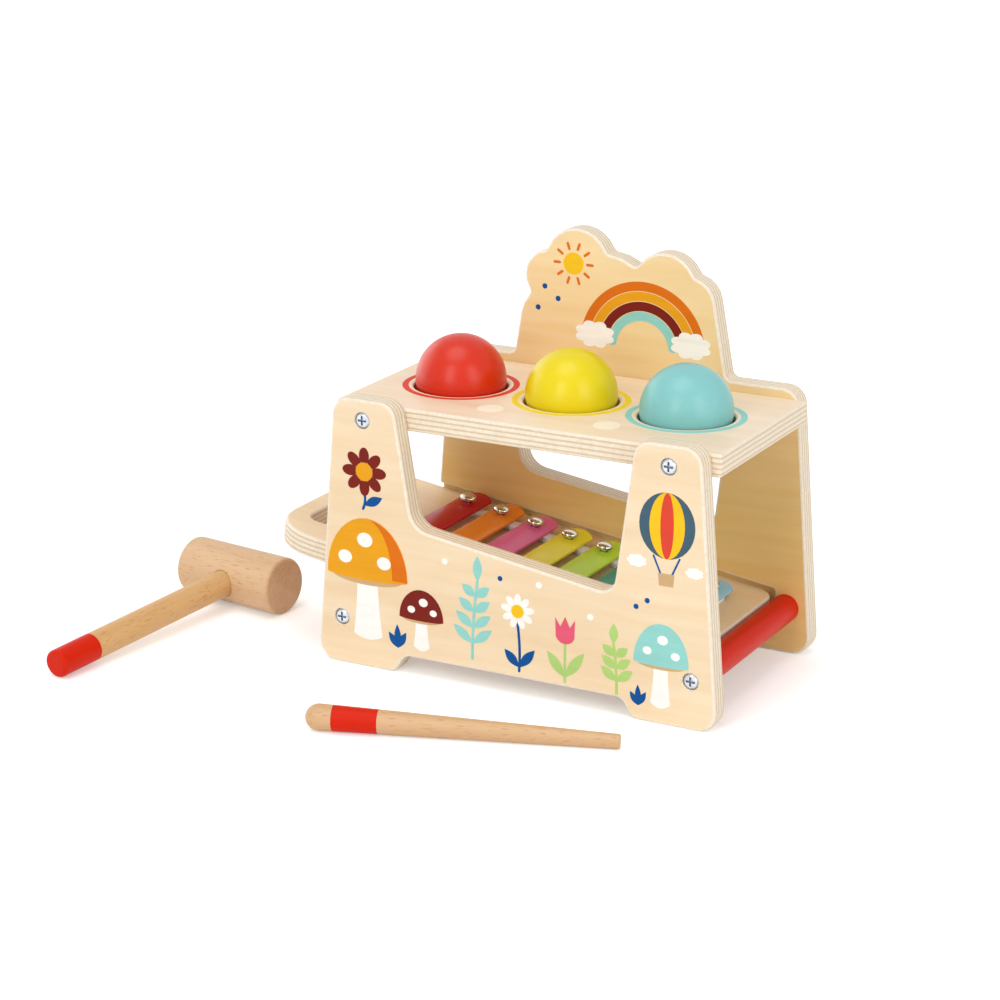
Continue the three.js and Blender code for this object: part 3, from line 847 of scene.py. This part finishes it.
# %% Plants
def toadstool(x, ground, height, half_width, cap_ink, spots, shade_ink=None):
    rim = ground + 0.52 * height
    foot, neck = 0.36 * half_width, 0.25 * half_width
    left = bend((x - neck, rim + 2), (x - neck, ground + 0.3 * height), (x - foot, ground + 2))
    base = bend((x - foot, ground + 2), (x, ground - 3), (x + foot, ground + 2))
    right = bend((x + foot, ground + 2), (x + neck, ground + 0.3 * height), (x + neck, rim + 2))
    films = [("white", 1, left + base[1:] + right[1:])]
    films.append(("tan", 2, cap(x, rim, 0.88 * half_width, 1.5, 0.2 * half_width)))
    rise = 0.48 * height
    films.append((cap_ink, 3, cap(x, rim, half_width, rise, 0.09 * half_width)))
    if shade_ink:
        outer = [(x + 0.99 * half_width * u, rim + 0.98 * rise * v) for u, v in bow(0, 0, 1, 0, 85)]
        inner = [(x + 0.62 * half_width * u, rim + 0.98 * rise * v) for u, v in bow(0, 0, 1, 85, 0)]
        films.append((shade_ink, 4, outer + inner))
    for across, up, size in spots:
        place = (x + across * half_width, rim + up * height)
        films.append(("white", 5, oval(*place, size * half_width, 0.86 * size * half_width)))
    return films


def flower(x, y, petals, reach, petal, ink, centre_ink, centre):
    """Petals are ovals that stop short of each other. petal is half a petal's length."""
    films = []
    middle = reach - petal
    half_width = 0.93 * middle * math.sin(math.pi / petals)
    for i in range(petals):
        angle = 360 * i / petals + 90
        place = moved([(middle, 0)], x, y, angle)[0]
        films.append((ink, 2, oval(*place, petal, half_width, angle, 20)))
    films.append((centre_ink, 3, oval(x, y, centre, centre)))
    return films


def sprig(x, ground, top, lean, pairs, length, width, ink):
    """A stem with pairs of leaves and one leaf at the tip."""
    stem = bend((x, ground), (x, (ground + top) / 2), (x + lean, top), 4 * (pairs + 1))
    films = [(ink, 2, stroke(stem, 1.6)), (ink, 1, leaf(*stem[-1], length, width, 90))]
    for i in range(1, pairs + 1):
        u, v = stem[4 * i]
        size = 1.12 - 0.1 * i
        films.append((ink, 1, leaf(u, v, size * length, width, 38)))
        films.append((ink, 1, leaf(u, v, size * length, width, 142)))
    return films


def grass(x, ground, height, ink):
    blades = [(1, 62, 0.8), (2, 92, 1.0), (3, 124, 0.75)]
    width = 0.3 * height
    return [(ink, layer, leaf(x, ground, share * height, width, turn)) for layer, turn, share in blades]


def tulip(x, ground, height, ink, leaf_ink):
    cup = 0.36 * height
    base = ground + 0.66 * height
    tips = [(0.42, 1.0), (0.2, 0.66), (0.0, 1.08), (-0.2, 0.66), (-0.42, 1.0)]
    bottom = bow(0, 0.4, 0.42, 200, 340, 12)
    shape = [(x + cup * u, base + cup * (v - 0.3)) for u, v in bottom + tips]
    films = [(leaf_ink, 1, stroke([(x, ground), (x, base)], 1.5)), (ink, 2, shape)]
    films.append((leaf_ink, 2, leaf(x, ground + 0.06 * height, 0.5 * height, 0.15 * height, 54)))
    films.append((leaf_ink, 3, leaf(x, ground + 0.06 * height, 0.44 * height, 0.15 * height, 128)))
    return films


# %% [markdown]
# ## The front panel's print
# Toadstools and flowers stand along the lower edge, and a balloon flies on the right-hand leg.

# %% Front print
front_films = []
front_films += flower(-85, 107, 8, 13, 4.6, "maroon", "ochre", 5)
front_films.append(("blue", 1, stroke(bend((-85, 95), (-84, 91), (-86, 87)), 1.5)))
front_films.append(("blue", 2, leaf(-85.2, 89, 12, 5, 26)))
big_spots = [(-0.55, 0.14, 0.17), (-0.05, 0.3, 0.19), (0.42, 0.13, 0.17)]
front_films += toadstool(-84, 16, 66, 24, "ochre", big_spots, shade_ink="orange")
small_spots = [(-0.45, 0.14, 0.17), (0.1, 0.28, 0.2), (0.55, 0.13, 0.16)]
front_films += toadstool(-52, 15, 33, 13, "maroon", small_spots)
front_films += grass(-66, 14, 13, "blue")
front_films += sprig(-22, 16, 58, 3, 4, 14, 5.2, "aqua")
front_films += flower(4, 46, 9, 9.5, 3.5, "white", "yellow", 3.6)
front_films.append(("blue", 1, stroke(bend((5, 14), (6, 26), (4, 40)), 1.5)))
front_films.append(("blue", 2, leaf(5, 16, 14, 5, 50)))
front_films.append(("blue", 3, leaf(5, 16, 12, 5, 134)))
front_films += tulip(31, 13, 37, "pink", "green")
front_films += sprig(60, 12, 38, -2, 3, 11, 5, "green")
aqua_spots = [(-0.5, 0.14, 0.16), (0.05, 0.29, 0.19), (0.52, 0.12, 0.16)]
front_films += toadstool(84, 9, 44, 15, "aqua", aqua_spots)
front_films += grass(72, 8, 11, "blue")
front_films += [("white", 1, oval(x, y, 1.7, 1.7)) for x, y in ((-38, 66), (16, 62), (45, 50))]
front_films += [("blue", 1, oval(x, y, 1.4, 1.4)) for x, y in ((-6, 62), (70, 60), (76, 64))]

# The balloon
front_films.append(("slate", 1, oval(86, 104, 15, 17)))
front_films.append(("yellow", 2, oval(86, 104, 9.5, 17)))
front_films.append(("red", 3, oval(86, 104, 3.6, 17)))
front_films += [("blue", 1, stroke([(86 + side * 7, 88), (86 + side * 3, 79)], 1.0)) for side in (-1, 1)]
front_films.append(("tan", 2, [(82.2, 73), (89.8, 73), (90.4, 79.5), (81.6, 79.5)]))
front_films += [("white", 1, puff(70, 84, 5.5, 3.4, 7)), ("white", 1, puff(101, 82, 5, 3, 7))]
print_on("front", front_films, on_front)

# %% [markdown]
# ## The cloud's print and the table's rings
# A rainbow and a sun fill the cloud behind the balls. A ring in each ball's colour goes round its hole,
# and two pale spots lie between the rings.

# %% Cloud and table prints
cloud_films = []
for step, ink in enumerate(("orange", "ochre", "maroon", "aqua")):
    cloud_films.append((ink, 1, stroke(bow(14, 156, 34 - 5.4 * step, 8, 172, 36), 5)))
cloud_films += [("white", 2, puff(-14, 161, 12, 7.5, 8)), ("white", 2, puff(42, 161, 12, 7.5, 8))]
SUN = (-27, 198)
RAYS = 10
RAY_ENDS = (8.2, 11.2)
cloud_films.append(("yellow", 1, oval(*SUN, 6, 6)))
for i in range(RAYS):
    ray = [moved([(reach, 0)], *SUN, 360 / RAYS * i)[0] for reach in RAY_ENDS]
    cloud_films.append(("orange", 1, stroke(ray, 1.5)))
cloud_films += [("blue", 1, oval(x, y, 1.5, 1.5)) for x, y in ((-44, 184), (-36, 178), (-48, 172))]
print_on("cloud", cloud_films, on_cloud)

RING_INNER, RING_OUTER = 27.7, 31.0
table_films = []
for side, ink in (("left", "red"), ("middle", "lemon"), ("right", "aqua")):
    low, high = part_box("ball_" + side)
    across = ((low.x + high.x) / 2 - bench.x) / MM
    rim = [oval(across, 0, radius, radius, steps=72) for radius in (RING_OUTER, RING_INNER)]
    table_films.append((ink, 1, *rim))
table_films += [("cream", 1, oval(x, -34.5, 7, 7)) for x in (-29, 37)]
print_on("table", table_films, on_table)

# %% [markdown]
# ## Floor, light and camera
# A wide white floor runs past the edges of the picture. The light is kept at a level at which colours
# come out as they are written, so the floor would look pale grey. A little glow that only the camera and
# mirrors can see lifts it to white, and the shadow on it stays. The sky does the same. Two tall
# softboxes, to the left and the right of the camera, light the bench and draw the two soft highlights on
# each ball. A low lamp on each side fills the shadows, and a wide soft sun from above lights the table.

# %% Floor and sky
FLOOR_REACH = 6.0
FLOOR_GLOW = 0.3
SKY_LIGHT = 0.5


def seen_directly(tree):
    """1 for what the camera sees, also in a mirror or a lens, and 0 for light that falls on the object."""
    path = tree.nodes.new("ShaderNodeLightPath")
    result = path.outputs["Is Camera Ray"]
    for ray in ("Is Glossy Ray", "Is Transmission Ray"):
        larger = tree.nodes.new("ShaderNodeMath")
        larger.operation = "MAXIMUM"
        tree.links.new(result, larger.inputs[0])
        tree.links.new(path.outputs[ray], larger.inputs[1])
        result = larger.outputs["Value"]
    return result


def scaled(tree, value, factor, offset):
    sums = tree.nodes.new("ShaderNodeMath")
    sums.operation = "MULTIPLY_ADD"
    tree.links.new(value, sums.inputs[0])
    sums.inputs[1].default_value = factor
    sums.inputs[2].default_value = offset
    return sums.outputs["Value"]


turns = [(-1, -1), (1, -1), (1, 1), (-1, 1)]
corners = [(FLOOR_REACH * x, FLOOR_REACH * y) for x, y in turns]
floor_mesh = bpy.data.meshes.new("floor")
floor_mesh.from_pydata([(x, y, 0) for x, y in corners], [], [(0, 1, 2, 3)])
floor = bpy.data.objects.new("floor", floor_mesh)
bpy.context.scene.collection.objects.link(floor)
floor_paint = plain_material("white floor", (250, 250, 250), 0.9)
floor_tree = floor_paint.node_tree
glow = floor_tree.nodes.new("ShaderNodeEmission")
both = floor_tree.nodes.new("ShaderNodeAddShader")
glow_strength = scaled(floor_tree, seen_directly(floor_tree), FLOOR_GLOW, 0.0)
floor_tree.links.new(glow_strength, glow.inputs["Strength"])
floor_tree.links.new(floor_tree.nodes["Principled BSDF"].outputs["BSDF"], both.inputs[0])
floor_tree.links.new(glow.outputs["Emission"], both.inputs[1])
floor_tree.links.new(both.outputs["Shader"], floor_tree.nodes["Material Output"].inputs["Surface"])
floor_mesh.materials.append(floor_paint)

world = bpy.context.scene.world or bpy.data.worlds.new("sky")
bpy.context.scene.world = world
world.use_nodes = True
sky = world.node_tree.nodes["Background"]
sky.inputs["Color"].default_value = (1, 1, 1, 1)
sky_strength = scaled(world.node_tree, seen_directly(world.node_tree), 1 - SKY_LIGHT, SKY_LIGHT)
world.node_tree.links.new(sky_strength, sky.inputs["Strength"])
print("floor", 2 * FLOOR_REACH, "m wide, sky light", SKY_LIGHT)


# %% Lamps and camera
def look_at(piece, target):
    piece.rotation_euler = (target - piece.location).to_track_quat("-Z", "Y").to_euler()


LAMP_TARGET = bench + Vector((0, 0, 0.08))
LAMP_REACH = 1.6


def place_lamp(lamp, azimuth, elevation):
    """Aims a lamp at the bench. Its azimuth is counted from the front towards the right, in degrees."""
    turn, rise = math.radians(azimuth), math.radians(elevation)
    way = Vector((math.sin(turn) * math.cos(rise), -math.cos(turn) * math.cos(rise), math.sin(rise)))
    holder = bpy.data.objects.new(lamp.name, lamp)
    bpy.context.scene.collection.objects.link(holder)
    holder.location = LAMP_TARGET + LAMP_REACH * way
    look_at(holder, LAMP_TARGET)


def softbox(name, azimuth, elevation, width, height, power):
    lamp = bpy.data.lights.new(name, "AREA")
    lamp.shape = "RECTANGLE"
    lamp.size = width
    lamp.size_y = height
    lamp.energy = power
    place_lamp(lamp, azimuth, elevation)


softbox("left softbox", azimuth=-3, elevation=26, width=0.5, height=1.1, power=6.0)
softbox("right softbox", azimuth=59, elevation=26, width=0.5, height=1.1, power=4.8)
softbox("right fill", azimuth=85, elevation=12, width=1.2, height=0.6, power=1.9)
softbox("left fill", azimuth=-100, elevation=14, width=1.5, height=1.0, power=6.0)
sun = bpy.data.lights.new("sun", "SUN")
sun.energy = 0.9
sun.angle = math.radians(40)
place_lamp(sun, azimuth=-20, elevation=78)

LENS = 98.775
SENSOR = 36
CAMERA_PLACE = Vector((610.5, -1221.8, 519.0)) * MM
CAMERA_TARGET = Vector((-41.83, 0, 79.49)) * MM
camera_data = bpy.data.cameras.new("camera")
camera_data.lens = LENS
camera_data.sensor_width = SENSOR
camera = bpy.data.objects.new("camera", camera_data)
bpy.context.scene.collection.objects.link(camera)
camera.location = bench + CAMERA_PLACE
look_at(camera, bench + CAMERA_TARGET)
bpy.context.scene.camera = camera
bpy.context.scene.view_settings.view_transform = "Standard"
print("camera", tuple(round(v, 3) for v in camera.location))

# %% [markdown]
# ## Finish
# The places of all pieces are brought up to date once more.

# %% Finish
bpy.context.view_layer.update()
